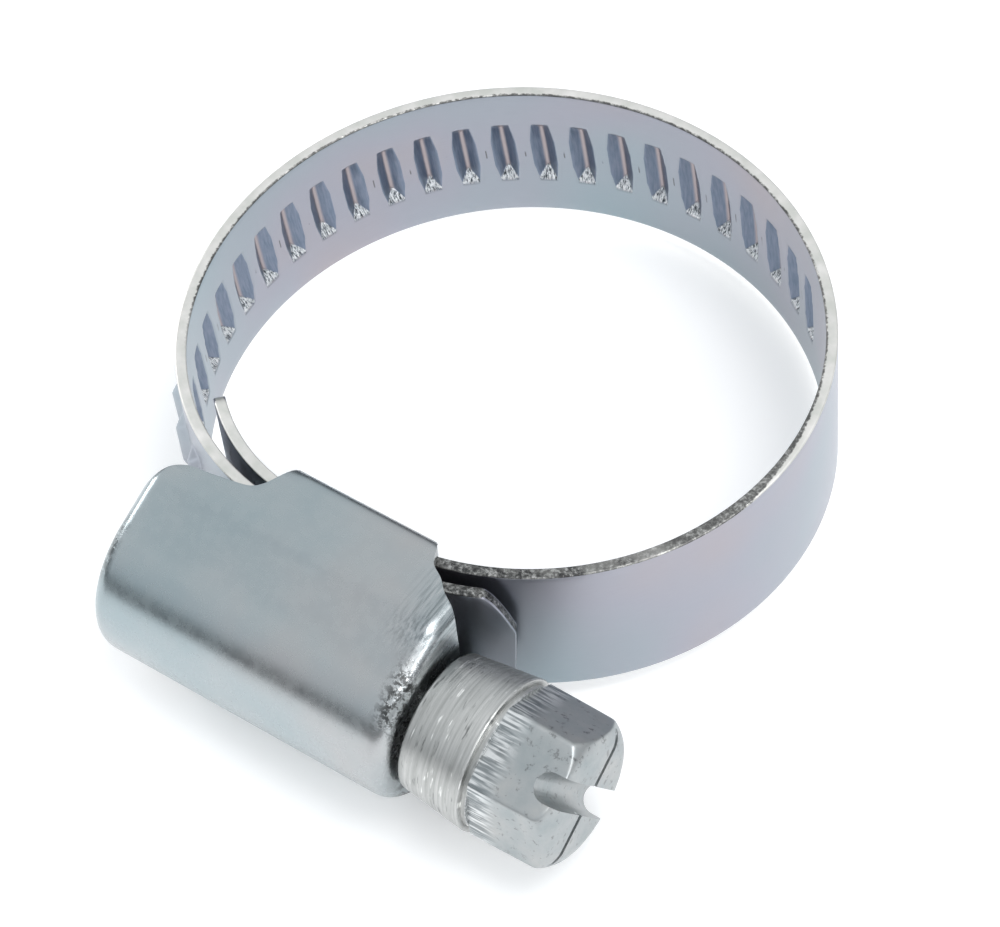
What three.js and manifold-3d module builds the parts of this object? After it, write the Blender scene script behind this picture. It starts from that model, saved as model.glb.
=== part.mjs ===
// Worm-drive hose clamp with a 9 mm band, opened to a loop for a 31 mm hose.
//
// Frame: millimetres, +Z along the hose axis. The origin is on the hose axis, half-way up the
// band. The housing is at -Y, and the screw lies along X with its head at +X.
//
// The clamp is three pieces of metal: a band, a housing and a screw. The band is one springy
// strip, so it is cut here into hinged lengths that close the loop together as the screw turns.
import * as THREE from 'three';
import { mergeVertices } from 'three/addons/utils/BufferGeometryUtils.js';
import Module from 'manifold-3d';

const wasm = await Module();
wasm.setup();

// ---- Driving dimensions, mm ----

// Band
const bandWidth = 9;
const bandThickness = 0.6;
const loopRadius = 16; // main arc, to the middle of the band
const fixedInset = 2.8; // how far the fixed end lies inside the main arc
const layerGap = 0.4; // between the fixed end and the threaded layer over it
const fixedFlat = 1.6; // the fixed end is straight from the tongue to this X
const threadedFlat = 3; // the threaded layer is straight from minus this X
const exitLength = 4; // fixed end past its straight part, to the first hinge
const tongueFlat = 2.6; // the fixed end is straight from minus this X
const tongueRadius = 10.5;
const tongueLength = 8.4;
const hingeGap = 0.3; // between neighbouring lengths of the band

// Embossed thread on the band
const pitch = 2.09;
const toothHeight = 0.55;
const toothBase = 1.4; // across the foot, along the band
const toothCrest = 0.3; // across the top, along the band
const toothLength = 4.4; // across the band
const crestLength = 3;
const toothSlant = 0.065; // along the band per unit across it
const loopTeeth = 28; // round the loop, outside the housing
const longLinkTeeth = 6;
const entryLinks = 2; // next to the housing
const entryLinkTeeth = 2;
const seatTeeth = 3; // under the worm
const tailTeeth = 1;
const smoothLinks = 3;

// Tail that sticks out of the housing
const tailRadius = 10.5;
const tailPlain = 2.3; // past its last tooth
const tailTip = 1.7; // tapered end
const tailTipWidth = 3;
const tailTipSteps = [[0.45, 0.72], [0.8, 0.52]]; // share of the tip's length, share of the band's width

// Screw
const wormClearance = 0.2; // worm to band, both at its crest and at its root
const wormRadius = 3.1;
const wormCrest = 0.5; // width of the thread at its crest
const wormFlankSlope = 0.4; // widening per unit of depth, each side
const wormFoot = 0.3; // how deep the thread runs into the core
const wormEndGap = 0.5; // from the worm to the housing's end walls
const journalRadius = 2;
const journalChamfer = 0.3;
const collarRadius = 4;
const collarTaper = 0.45; // the collar is this much smaller in radius at the housing
const collarLength = 3.7;
const collarGap = 0.3; // collar to housing
const collarStep = 0.3; // narrow land between collar and hexagon, this much smaller in radius too
const hexAcross = 7;
const hexLength = 4.3;
const hexTurn = -4; // degrees, from +Y to the middle of a flat, at rest
const hexEndRadius = 2.6; // flat of the rounded end
const hexDome = 1.5; // length of the rounded end
const slotWidth = 1.5;
const slotDepth = 1.5;
const crossWidth = 0.35;
const crossDepth = 0.4;
const slotTurn = 35; // degrees, from the middle of that flat to square across the slot

// Housing
const sheet = 0.6;
const seatGap = 0.2; // saddle to fixed end
const sideGap = 0.5; // band to each side wall
const barrelGap = 0.75; // worm to barrel, at the closest
const barrelLift = 0.5; // barrel axis this much nearer the hose than the screw axis
const saddleCorner = 0.8;
const shoulder = 4.4; // flat of the side walls, from the saddle's inner face
const barrelLeft = 9.4;
const barrelRight = 7.9;
const saddleLeft = 3.3;
const saddleRight = 4.6;
const windowLeft = 3.6; // the band leaves the saddle here, through a window between the walls
const windowClearance = 0.25;
const bushClearance = 0.12;
const endWallGap = 0.3; // end walls to the band's teeth
// Edge of a side wall beside the saddle: each point is out from the saddle's end, down from its face.
const leftEdge = [[0, 0.4], [0.9, 2], [1.5, 2.4]];
const rightEdge = [[0.3, 0.9], [0.8, 1.6], [1.7, 2], [2.5, 2.8]];
const lobeDrop = 2.9; // from the saddle's face to the top of the walls beside the barrel
// Corners of the side wall at the barrel's ends: in from the end, down from the top of the wall.
const leftCorner = [[1.6, 0], [0.7, 0.5], [0.2, 1.5], [0, 2.6]];
const rightCorner = [[0, 0.6]];

// ---- Derived positions ----

const fixedSeat = loopRadius - fixedInset;
const threadedSeat = fixedSeat + bandThickness + layerGap;
const bandTop = threadedSeat + bandThickness / 2;
const screwY = -(bandTop + wormClearance + wormRadius);
const wormRoot = -screwY - bandTop - toothHeight - wormClearance;
const housingHalfWidth = bandWidth / 2 + sideGap + sheet;
const barrelRadius = wormRadius + barrelLift + barrelGap + sheet;
const saddleY = -(fixedSeat - bandThickness / 2 - seatGap - sheet);
const barrelY = screwY + barrelLift;
const collarX = barrelRight + collarGap;
const hexX = collarX + collarLength + collarStep;

// ---- Solids ----

function solidOf(geometry) {
  const bare = geometry.clone();
  bare.deleteAttribute('normal');
  bare.deleteAttribute('uv');
  const merged = mergeVertices(bare, 1e-4);
  const mesh = new wasm.Mesh({
    numProp: 3,
    vertProperties: new Float32Array(merged.attributes.position.array),
    triVerts: new Uint32Array(merged.index.array),
  });
  return new wasm.Manifold(mesh);
}

function geometryOf(solid) {
  const mesh = solid.getMesh();
  const geometry = new THREE.BufferGeometry();
  geometry.setAttribute('position', new THREE.BufferAttribute(new Float32Array(mesh.vertProperties), 3));
  geometry.setIndex(new THREE.BufferAttribute(new Uint32Array(mesh.triVerts), 1));
  geometry.computeVertexNormals();
  return geometry;
}

// Turns a shape drawn in (across, up) and extruded along its own Z to run along +X from startX.
// The shape's x becomes the part's Y, and its y becomes the part's Z.
function alongX(shape, startX, length, curveSegments = 12) {
  const geometry = new THREE.ExtrudeGeometry(shape, { depth: length, bevelEnabled: false, curveSegments });
  const turn = new THREE.Matrix4().makeBasis(
    new THREE.Vector3(0, 1, 0),
    new THREE.Vector3(0, 0, 1),
    new THREE.Vector3(1, 0, 0),
  );
  geometry.applyMatrix4(turn);
  geometry.translate(startX, 0, 0);
  return geometry;
}

// A turned body on the screw axis. The profile is a list of [x, radius], from one end to the other.
function turned(profile, segments = 48) {
  const points = profile.map(([x, radius]) => new THREE.Vector2(radius, x));
  const geometry = new THREE.LatheGeometry(points, segments);
  geometry.rotateZ(-Math.PI / 2);
  geometry.translate(0, screwY, 0);
  return geometry;
}

// A strip with four long faces. Each column is a list of {outer, inner} points across the strip.
function stripGeometry(columns) {
  const rows = columns[0].length;
  const positions = [];
  const indices = [];
  for (const column of columns) {
    for (const { outer, inner } of column) {
      positions.push(outer.x, outer.y, outer.z, inner.x, inner.y, inner.z);
    }
  }
  const outerAt = (i, j) => 2 * (i * rows + j);
  const innerAt = (i, j) => outerAt(i, j) + 1;
  const quad = (a, b, c, d) => indices.push(a, b, c, a, c, d);
  const last = columns.length - 1;
  for (let i = 0; i < last; i += 1) {
    for (let j = 0; j < rows - 1; j += 1) {
      quad(outerAt(i, j), outerAt(i + 1, j), outerAt(i + 1, j + 1), outerAt(i, j + 1));
      quad(innerAt(i, j), innerAt(i, j + 1), innerAt(i + 1, j + 1), innerAt(i + 1, j));
    }
    quad(innerAt(i, 0), innerAt(i + 1, 0), outerAt(i + 1, 0), outerAt(i, 0));
    const top = rows - 1;
    quad(outerAt(i, top), outerAt(i + 1, top), innerAt(i + 1, top), innerAt(i, top));
  }
  for (let j = 0; j < rows - 1; j += 1) {
    quad(innerAt(0, j), outerAt(0, j), outerAt(0, j + 1), innerAt(0, j + 1));
    quad(outerAt(last, j), innerAt(last, j), innerAt(last, j + 1), outerAt(last, j + 1));
  }
  const geometry = new THREE.BufferGeometry();
  geometry.setAttribute('position', new THREE.Float32BufferAttribute(positions, 3));
  geometry.setIndex(indices);
  geometry.computeVertexNormals();
  return geometry;
}

// ---- The line of the band, seen along the hose axis ----

// Radius of the arc that joins the main arc to a flat at this distance from the hose axis.
function joiningRadius(seat, flatEnd) {
  return (loopRadius ** 2 - seat ** 2 - flatEnd ** 2) / (2 * (loopRadius - seat));
}

function joiningAngle(seat, flatEnd) {
  const radius = joiningRadius(seat, flatEnd);
  return Math.acos((seat - radius) / (loopRadius - radius));
}

const exitRadius = joiningRadius(fixedSeat, fixedFlat);
const exitAngle = joiningAngle(fixedSeat, fixedFlat);
const entryRadius = joiningRadius(threadedSeat, threadedFlat);
const entryAngle = joiningAngle(threadedSeat, threadedFlat);
const tongueAngle = tongueLength / tongueRadius;
const seatEnd = (seatTeeth / 2) * pitch;
const tailLength = tailTeeth * pitch + tailPlain + tailTip;

// The band's pieces in order, from the tongue's tip to the tail's tip.
const runs = [
  { length: tongueLength, curve: 1 / tongueRadius },
  { length: tongueFlat + fixedFlat, curve: 0 },
  { length: exitRadius * exitAngle, curve: 1 / exitRadius },
  { length: loopRadius * (2 * Math.PI - exitAngle - entryAngle), curve: 1 / loopRadius },
  { length: entryRadius * entryAngle, curve: 1 / entryRadius },
  { length: threadedFlat + seatEnd, curve: 0 },
  { length: tailLength, curve: 1 / tailRadius },
];

const tongueEnd = {
  x: -tongueFlat - tongueRadius * Math.sin(tongueAngle),
  y: -fixedSeat + tongueRadius * (1 - Math.cos(tongueAngle)),
  heading: -tongueAngle,
};

function advance(from, length, curve) {
  const heading = from.heading + length * curve;
  if (curve === 0) {
    return {
      x: from.x + length * Math.cos(heading),
      y: from.y + length * Math.sin(heading),
      heading,
    };
  }
  return {
    x: from.x + (Math.sin(heading) - Math.sin(from.heading)) / curve,
    y: from.y - (Math.cos(heading) - Math.cos(from.heading)) / curve,
    heading,
  };
}

// Place and heading of the band's middle at a distance along it.
function bandAt(station) {
  let place = tongueEnd;
  let left = station;
  for (const { length, curve } of runs.slice(0, -1)) {
    if (left <= length) return advance(place, left, curve);
    place = advance(place, length, curve);
    left -= length;
  }
  return advance(place, left, runs.at(-1).curve);
}

const stationOf = (count) => runs.slice(0, count).reduce((sum, run) => sum + run.length, 0);
const exitStation = stationOf(2) + exitLength;
const middleStation = stationOf(6) - seatEnd; // over X = 0
const seatStation = middleStation - seatEnd;
const firstToothStation = seatStation - loopTeeth * pitch;
const tailEnd = stationOf(7);
const plainTailStation = middleStation + seatEnd + tailTeeth * pitch;

// The thread's slant fades in over the last smooth length.
function slantAt(station) {
  const smoothLength = (firstToothStation - exitStation) / smoothLinks;
  const share = (station - firstToothStation + smoothLength) / smoothLength;
  return toothSlant * THREE.MathUtils.clamp(share, 0, 1);
}

const rowShares = [
  { z: -bandWidth / 2, raised: 0 },
  { z: -toothLength / 2, raised: 0 },
  { z: -crestLength / 2, raised: 1 },
  { z: crestLength / 2, raised: 1 },
  { z: toothLength / 2, raised: 0 },
  { z: bandWidth / 2, raised: 0 },
];

function bandColumn({ station, rise, width }) {
  return rowShares.map(({ z, raised }) => {
    const height = z * width;
    const place = bandAt(station + slantAt(station) * height);
    const outward = new THREE.Vector3(Math.sin(place.heading), -Math.cos(place.heading), 0);
    const middle = new THREE.Vector3(place.x, place.y, height);
    const lift = rise * raised;
    return {
      outer: middle.clone().addScaledVector(outward, lift + bandThickness / 2),
      inner: middle.clone().addScaledVector(outward, lift - bandThickness / 2),
    };
  });
}

// Stations that a stretch of band needs: its ends, its teeth and enough steps round a curve.
function bandStations(start, end) {
  const longestStep = 2.4;
  const marks = [{ station: start, rise: 0, width: 1 }];
  const firstTooth = Math.ceil((start - firstToothStation) / pitch - 0.5);
  for (let k = Math.max(firstTooth, 0); ; k += 1) {
    const centre = firstToothStation + (k + 0.5) * pitch;
    if (centre + toothBase / 2 > Math.min(end, plainTailStation)) break;
    if (centre - toothBase / 2 < start) continue;
    marks.push({ station: centre - toothBase / 2, rise: 0, width: 1 });
    marks.push({ station: centre - toothCrest / 2, rise: toothHeight, width: 1 });
    marks.push({ station: centre + toothCrest / 2, rise: toothHeight, width: 1 });
    marks.push({ station: centre + toothBase / 2, rise: 0, width: 1 });
  }
  marks.push({ station: end, rise: 0, width: 1 });
  const filled = [marks[0]];
  for (const mark of marks.slice(1)) {
    const from = filled.at(-1).station;
    const steps = Math.ceil((mark.station - from) / longestStep);
    for (let i = 1; i < steps; i += 1) {
      filled.push({ station: from + ((mark.station - from) * i) / steps, rise: 0, width: 1 });
    }
    filled.push(mark);
  }
  return filled;
}

function bandLength(start, end) {
  return stripGeometry(bandStations(start, end).map(bandColumn));
}

function tailLengthGeometry(start) {
  const stations = bandStations(start, tailEnd - tailTip);
  for (const [along, width] of [...tailTipSteps, [1, tailTipWidth / bandWidth]]) {
    stations.push({ station: tailEnd - tailTip * (1 - along), rise: 0, width });
  }
  return stripGeometry(stations.map(bandColumn));
}

// ---- Screw ----

function wormThread() {
  const stepsPerTurn = 24;
  const startX = -barrelLeft + sheet + wormEndGap;
  const endX = barrelRight - sheet - wormEndGap;
  const turns = (endX - startX - 2 * wormCrest) / pitch;
  const steps = Math.round(turns * stepsPerTurn);
  const depth = wormRadius - wormRoot + wormFoot;
  const columns = [];
  for (let i = 0; i <= steps; i += 1) {
    const x = startX + wormCrest + (i / stepsPerTurn) * pitch;
    // The crest faces the band half-way between two teeth.
    const angle = 2 * Math.PI * (x / pitch - 0.5);
    const radial = new THREE.Vector3(0, Math.cos(angle), Math.sin(angle));
    const at = (offset, radius) =>
      new THREE.Vector3(x + offset, screwY, 0).addScaledVector(radial, radius);
    const crest = wormCrest / 2;
    const foot = crest + depth * wormFlankSlope;
    columns.push([
      { outer: at(-crest, wormRadius), inner: at(-foot, wormRoot - wormFoot) },
      { outer: at(crest, wormRadius), inner: at(foot, wormRoot - wormFoot) },
    ]);
  }
  return stripGeometry(columns);
}

function screwBody() {
  const workLeft = -barrelLeft + sheet + wormEndGap;
  const workRight = barrelRight - sheet - wormEndGap;
  return turned([
    [-barrelLeft, 0],
    [-barrelLeft, journalRadius - journalChamfer],
    [-barrelLeft + journalChamfer, journalRadius],
    [workLeft, journalRadius],
    [workLeft, wormRoot],
    [workRight, wormRoot],
    [workRight, journalRadius],
    [collarX, journalRadius],
    [collarX, collarRadius - collarTaper],
    [collarX + collarLength, collarRadius],
    [collarX + collarLength, collarRadius - collarStep],
    [hexX, collarRadius - collarStep],
    [hexX, 0],
  ]);
}

// A slot across the end of the head, with a round bottom.
function endSlot(width, depth, turn) {
  const reach = hexAcross;
  const endX = hexX + hexLength;
  const shape = new THREE.Shape();
  shape.moveTo(1, -width / 2);
  shape.lineTo(1, width / 2);
  shape.lineTo(-depth + width / 2, width / 2);
  shape.absarc(-depth + width / 2, 0, width / 2, Math.PI / 2, (3 * Math.PI) / 2, false);
  const geometry = new THREE.ExtrudeGeometry(shape, { depth: 2 * reach, bevelEnabled: false, curveSegments: 8 });
  geometry.translate(endX, 0, -reach);
  geometry.rotateX(THREE.MathUtils.degToRad(turn));
  geometry.translate(0, screwY, 0);
  return solidOf(geometry);
}

function hexHead() {
  const corner = hexAcross / Math.sqrt(3);
  const start = hexX - 0.2;
  const prism = new THREE.CylinderGeometry(corner, corner, hexLength + 0.2, 6);
  prism.rotateZ(-Math.PI / 2);
  prism.rotateX(THREE.MathUtils.degToRad(hexTurn));
  prism.translate(start + (hexLength + 0.2) / 2, screwY, 0);
  const endX = hexX + hexLength;
  const profile = [[start - 1, 0], [start - 1, corner + 1], [endX - hexDome - 0.6, corner + 1]];
  const steps = 5;
  for (let i = 0; i <= steps; i += 1) {
    const angle = (i / steps) * (Math.PI / 2);
    const radius = hexEndRadius + (corner + 0.1 - hexEndRadius) * Math.cos(angle);
    profile.push([endX - hexDome + hexDome * Math.sin(angle), radius]);
  }
  profile.push([endX, 0]);
  return solidOf(prism).intersect(solidOf(turned(profile)));
}

function screwGeometry() {
  return geometryOf(
    solidOf(screwBody())
      .add(solidOf(wormThread()))
      .add(hexHead())
      .subtract(endSlot(slotWidth, slotDepth, hexTurn + slotTurn))
      .subtract(endSlot(crossWidth, crossDepth, hexTurn + slotTurn + 90)),
  );
}

// ---- Housing ----

// Section of the housing's sheet across the screw, at a distance inside its outer face.
function housingSection(inset) {
  const half = housingHalfWidth - inset;
  const inner = saddleY - inset;
  const corner = Math.max(saddleCorner - inset, 0.15);
  const radius = barrelRadius - inset;
  const shoulderY = saddleY - shoulder;
  // The side wall leaves its flat on a tangent to the barrel.
  const reach = Math.hypot(shoulderY - barrelY, half);
  const touch = Math.atan2(half, shoulderY - barrelY) + Math.acos(Math.min(radius / reach, 1));
  const shape = new THREE.Shape();
  shape.moveTo(inner, -half + corner);
  shape.lineTo(inner, half - corner);
  shape.absarc(inner - corner, half - corner, corner, 0, Math.PI / 2, false);
  shape.lineTo(shoulderY, half);
  shape.absarc(barrelY, 0, radius, touch, 2 * Math.PI - touch, false);
  shape.lineTo(shoulderY, -half);
  shape.absarc(inner - corner, -half + corner, corner, -Math.PI / 2, 0, false);
  return shape;
}

// Outline of the housing seen along the hose axis: wide at the barrel, short at the saddle.
function housingOutline() {
  const shape = new THREE.Shape();
  const lobe = saddleY - lobeDrop;
  shape.moveTo(-saddleLeft, saddleY + sheet);
  for (const [out, down] of leftEdge) shape.lineTo(-saddleLeft - out, saddleY - down);
  for (const [along, down] of leftCorner) shape.lineTo(-barrelLeft + along, lobe - down);
  shape.lineTo(-barrelLeft, screwY - 2 * barrelRadius);
  shape.lineTo(barrelRight, screwY - 2 * barrelRadius);
  for (const [along, down] of rightCorner) shape.lineTo(barrelRight - along, lobe - down);
  for (const [out, down] of rightEdge.toReversed()) shape.lineTo(saddleRight + out, saddleY - down);
  shape.lineTo(saddleRight, saddleY + sheet);
  const depth = 2 * housingHalfWidth + 2;
  const geometry = new THREE.ExtrudeGeometry(shape, { depth, bevelEnabled: false });
  geometry.translate(0, 0, -depth / 2);
  return solidOf(geometry);
}

// An end wall fills the barrel beyond the band, and leaves a round hole for the screw.
function endWall(startX, holeRadius) {
  const shape = new THREE.Shape();
  const radius = barrelRadius - sheet / 2;
  const top = bandTop + toothHeight + endWallGap;
  const rise = Math.acos(Math.min((-top - barrelY) / radius, 1));
  shape.absarc(barrelY, 0, radius, rise, 2 * Math.PI - rise, false);
  shape.closePath();
  const hole = new THREE.Path();
  hole.absarc(screwY, 0, holeRadius, 0, 2 * Math.PI, true);
  shape.holes.push(hole);
  return solidOf(alongX(shape, startX, sheet, 24));
}

function housingGeometry() {
  const length = barrelLeft + barrelRight;
  const outer = solidOf(alongX(housingSection(0), -barrelLeft, length, 16));
  const inner = solidOf(alongX(housingSection(sheet), -barrelLeft - 1, length + 2, 16));
  const holeRadius = journalRadius + bushClearance;
  const windowSize = [2 * saddleRight, 4 * sheet, bandWidth + 2 * windowClearance];
  const window = new THREE.BoxGeometry(...windowSize);
  window.translate(windowLeft + saddleRight, saddleY, 0);
  return geometryOf(
    outer
      .subtract(inner)
      .intersect(housingOutline())
      .subtract(solidOf(window))
      .add(endWall(-barrelLeft, holeRadius))
      .add(endWall(barrelRight - sheet, holeRadius)),
  );
}

// ---- The assembly ----

const zinc = { color: 0xb4bcc6, roughness: 0.32, metalness: 0.95 };
const turnedSteel = { color: 0xb9bab8, roughness: 0.38, metalness: 0.95 };

const clamp = new THREE.Group();

function addPiece(name, geometry, finish) {
  const piece = new THREE.Mesh(geometry, new THREE.MeshStandardMaterial(finish));
  piece.name = name;
  clamp.add(piece);
}

addPiece('housing', housingGeometry(), zinc);
addPiece('screw', screwGeometry(), turnedSteel);
addPiece('band_fixed_end', bandLength(0, exitStation - hingeGap / 2), zinc);

const half = hingeGap / 2;
const smoothLength = (firstToothStation - exitStation) / smoothLinks;
for (let i = 0; i < smoothLinks; i += 1) {
  const start = exitStation + i * smoothLength;
  addPiece(`band_smooth_${i + 1}`, bandLength(start + half, start + smoothLength - half), zinc);
}

const longLength = longLinkTeeth * pitch;
const entryLength = entryLinkTeeth * pitch;
const longLinks = (loopTeeth - entryLinks * entryLinkTeeth) / longLinkTeeth;
for (let i = 0; i < longLinks; i += 1) {
  const start = firstToothStation + i * longLength;
  addPiece(`band_threaded_${i + 1}`, bandLength(start + half, start + longLength - half), zinc);
}
for (let i = 0; i < entryLinks; i += 1) {
  const start = seatStation - (entryLinks - i) * entryLength;
  addPiece(`band_entry_${i + 1}`, bandLength(start + half, start + entryLength - half), zinc);
}
addPiece('band_under_worm', bandLength(seatStation + half, seatStation + seatTeeth * pitch - half), zinc);
addPiece('band_tail', tailLengthGeometry(seatStation + seatTeeth * pitch + half), zinc);

export default clamp;
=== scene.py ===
import math

import bmesh
import bpy
import numpy as np
from mathutils import Matrix, Vector


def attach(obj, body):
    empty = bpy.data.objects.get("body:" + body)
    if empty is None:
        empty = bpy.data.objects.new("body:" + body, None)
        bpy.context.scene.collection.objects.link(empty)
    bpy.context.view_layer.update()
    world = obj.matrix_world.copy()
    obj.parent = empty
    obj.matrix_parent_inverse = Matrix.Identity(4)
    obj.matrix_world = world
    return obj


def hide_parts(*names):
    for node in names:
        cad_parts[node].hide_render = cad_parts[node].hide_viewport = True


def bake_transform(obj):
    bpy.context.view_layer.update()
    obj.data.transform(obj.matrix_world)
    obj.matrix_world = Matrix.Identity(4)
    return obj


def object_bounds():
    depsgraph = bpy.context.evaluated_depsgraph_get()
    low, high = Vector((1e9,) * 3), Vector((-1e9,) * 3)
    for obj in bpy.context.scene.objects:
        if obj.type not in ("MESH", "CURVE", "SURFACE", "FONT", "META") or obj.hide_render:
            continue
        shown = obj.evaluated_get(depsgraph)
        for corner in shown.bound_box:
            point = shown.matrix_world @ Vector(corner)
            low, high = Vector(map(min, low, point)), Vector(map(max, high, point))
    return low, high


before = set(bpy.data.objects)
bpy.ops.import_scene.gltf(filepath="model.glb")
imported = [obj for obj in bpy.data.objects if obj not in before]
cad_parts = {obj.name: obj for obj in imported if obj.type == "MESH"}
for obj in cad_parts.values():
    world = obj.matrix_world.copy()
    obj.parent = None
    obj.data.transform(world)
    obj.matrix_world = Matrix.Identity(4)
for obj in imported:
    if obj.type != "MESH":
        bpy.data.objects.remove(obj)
cad_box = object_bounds()

MM = 0.001

# ---------------------------------------------------------------------------
# Sizes, in millimetres. They are the CAD model's sizes, apart from small changes to the teeth and
# to the end of the head, which are rounder here.
# ---------------------------------------------------------------------------

BAND_WIDTH = 9.0
BAND_THICKNESS = 0.6
LOOP_RADIUS = 16.0
FIXED_INSET = 2.8
LAYER_GAP = 0.4
FIXED_FLAT = 1.6
THREADED_FLAT = 3.0
EXIT_LENGTH = 4.0
TONGUE_FLAT = 2.6
TONGUE_RADIUS = 10.5
TONGUE_LENGTH = 8.4

PITCH = 2.09
TOOTH_HEIGHT = 0.55
TOOTH_BASE = 1.34  # along the band at the tooth's middle
TOOTH_END = 0.94  # and at its ends
TOOTH_SLANT = 0.065
TOOTH_LENGTH = 4.4
CREST_LENGTH = 3.0
LOOP_TEETH = 28
LONG_LINK_TEETH = 6
ENTRY_LINKS = 2
ENTRY_LINK_TEETH = 2
SEAT_TEETH = 3
TAIL_TEETH = 1
SMOOTH_LINKS = 3

TAIL_RADIUS = 10.5
TAIL_PLAIN = 2.3
TAIL_TIP = 1.7
TAIL_TIP_WIDTH = 3.0
TONGUE_CORNER = 1.1
EDGE_ROUND = 0.1

WORM_RADIUS = 3.1
WORM_CLEARANCE = 0.2
WORM_CREST = 0.5
WORM_FLANK_SLOPE = 0.4
WORM_END_GAP = 0.5
JOURNAL_RADIUS = 2.0
JOURNAL_CHAMFER = 0.3
BUSH_CLEARANCE = 0.12
COLLAR_RADIUS = 4.0
COLLAR_TAPER = 0.45
COLLAR_LENGTH = 3.7
COLLAR_GAP = 0.3
COLLAR_STEP = 0.3
COLLAR_ROUND = 0.15
HEX_ACROSS = 7.0
HEX_LENGTH = 4.3
HEX_TURN = math.radians(-4)
HEX_END_RADIUS = 2.6
HEX_DOME = 1.6
HEX_TAPER = 0.05  # loss of width across flats per unit along the head
SLOT_WIDTH = 1.5
SLOT_DEPTH = 1.5
CROSS_WIDTH = 0.35
CROSS_DEPTH = 0.4
SLOT_TURN = math.radians(35)

SHEET = 0.6
SEAT_GAP = 0.2
SIDE_GAP = 0.5
BARREL_GAP = 0.75
BARREL_LIFT = 0.5
SADDLE_CORNER = 0.8
SHOULDER = 4.4
BARREL_LEFT = 9.4
BARREL_RIGHT = 7.9
SADDLE_LEFT = 3.3
SADDLE_RIGHT = 4.6
LOBE_DROP = 2.9
WINDOW_LEFT = 3.6
WINDOW_CLEARANCE = 0.25
END_CURL = 0.9  # radius of the drawn-in ends of the barrel

FIXED_SEAT = LOOP_RADIUS - FIXED_INSET
THREADED_SEAT = FIXED_SEAT + BAND_THICKNESS + LAYER_GAP
BAND_TOP = THREADED_SEAT + BAND_THICKNESS / 2
SCREW_Y = -(BAND_TOP + WORM_CLEARANCE + WORM_RADIUS)
WORM_ROOT = -SCREW_Y - BAND_TOP - TOOTH_HEIGHT - WORM_CLEARANCE
SADDLE_Y = -(FIXED_SEAT - BAND_THICKNESS / 2 - SEAT_GAP - SHEET)
BARREL_Y = SCREW_Y + BARREL_LIFT
BARREL_RADIUS = WORM_RADIUS + BARREL_LIFT + BARREL_GAP + SHEET
HALF_WIDTH = BAND_WIDTH / 2 + SIDE_GAP + SHEET
COLLAR_X = BARREL_RIGHT + COLLAR_GAP
HEX_X = COLLAR_X + COLLAR_LENGTH + COLLAR_STEP
HEAD_END = HEX_X + HEX_LENGTH
WORK_LEFT = -BARREL_LEFT + SHEET + WORM_END_GAP
WORK_RIGHT = BARREL_RIGHT - SHEET - WORM_END_GAP

# Added to the height in the strip's UV map on the strip's inner side, to tell the sides apart
INNER_SIDE = 20.0


# ---------------------------------------------------------------------------
# Mesh helpers
# ---------------------------------------------------------------------------

def mesh_object(name, points, faces, smooth=True):
    """A mesh object from points in millimetres."""
    mesh = bpy.data.meshes.new(name)
    mesh.from_pydata((np.asarray(points) * MM).tolist(), [], faces)
    mesh.validate()
    mesh.update()
    if smooth:
        mesh.polygons.foreach_set("use_smooth", [True] * len(mesh.polygons))
    piece = bpy.data.objects.new(name, mesh)
    bpy.context.scene.collection.objects.link(piece)
    return piece


def grid_faces(columns, rows, closed_rows=False, closed_columns=False, first=0):
    """Quads of a grid whose point (i, j) has the number first + i * rows + j."""
    faces = []
    for i in range(columns if closed_columns else columns - 1):
        i_next = (i + 1) % columns
        for j in range(rows if closed_rows else rows - 1):
            j_next = (j + 1) % rows
            faces.append((
                first + i * rows + j,
                first + i_next * rows + j,
                first + i_next * rows + j_next,
                first + i * rows + j_next,
            ))
    return faces


def add_uv(piece, u, v):
    """A UV map that gives each vertex its place along and across the strip, in millimetres."""
    layer = piece.data.uv_layers.new(name="strip")
    index = np.empty(len(piece.data.loops), int)
    piece.data.loops.foreach_get("vertex_index", index)
    pairs = np.stack([np.asarray(u)[index], np.asarray(v)[index]], axis=1)
    layer.data.foreach_set("uv", pairs.astype(np.float32).ravel())


# ---------------------------------------------------------------------------
# The line of the band, seen along the hose axis
# ---------------------------------------------------------------------------

def joining_radius(seat, flat_end):
    return (LOOP_RADIUS**2 - seat**2 - flat_end**2) / (2 * (LOOP_RADIUS - seat))


def joining_angle(seat, flat_end):
    radius = joining_radius(seat, flat_end)
    return math.acos((seat - radius) / (LOOP_RADIUS - radius))


EXIT_RADIUS = joining_radius(FIXED_SEAT, FIXED_FLAT)
EXIT_ANGLE = joining_angle(FIXED_SEAT, FIXED_FLAT)
ENTRY_RADIUS = joining_radius(THREADED_SEAT, THREADED_FLAT)
ENTRY_ANGLE = joining_angle(THREADED_SEAT, THREADED_FLAT)
TONGUE_ANGLE = TONGUE_LENGTH / TONGUE_RADIUS
SEAT_END = SEAT_TEETH / 2 * PITCH

# (length, curvature) of each run of the band, from the tongue's tip to the tail's tip
RUNS = [
    (TONGUE_LENGTH, 1 / TONGUE_RADIUS),
    (TONGUE_FLAT + FIXED_FLAT, 0.0),
    (EXIT_RADIUS * EXIT_ANGLE, 1 / EXIT_RADIUS),
    (LOOP_RADIUS * (2 * math.pi - EXIT_ANGLE - ENTRY_ANGLE), 1 / LOOP_RADIUS),
    (ENTRY_RADIUS * ENTRY_ANGLE, 1 / ENTRY_RADIUS),
    (THREADED_FLAT + SEAT_END, 0.0),
    (TAIL_TEETH * PITCH + TAIL_PLAIN + TAIL_TIP, 1 / TAIL_RADIUS),
]


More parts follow.
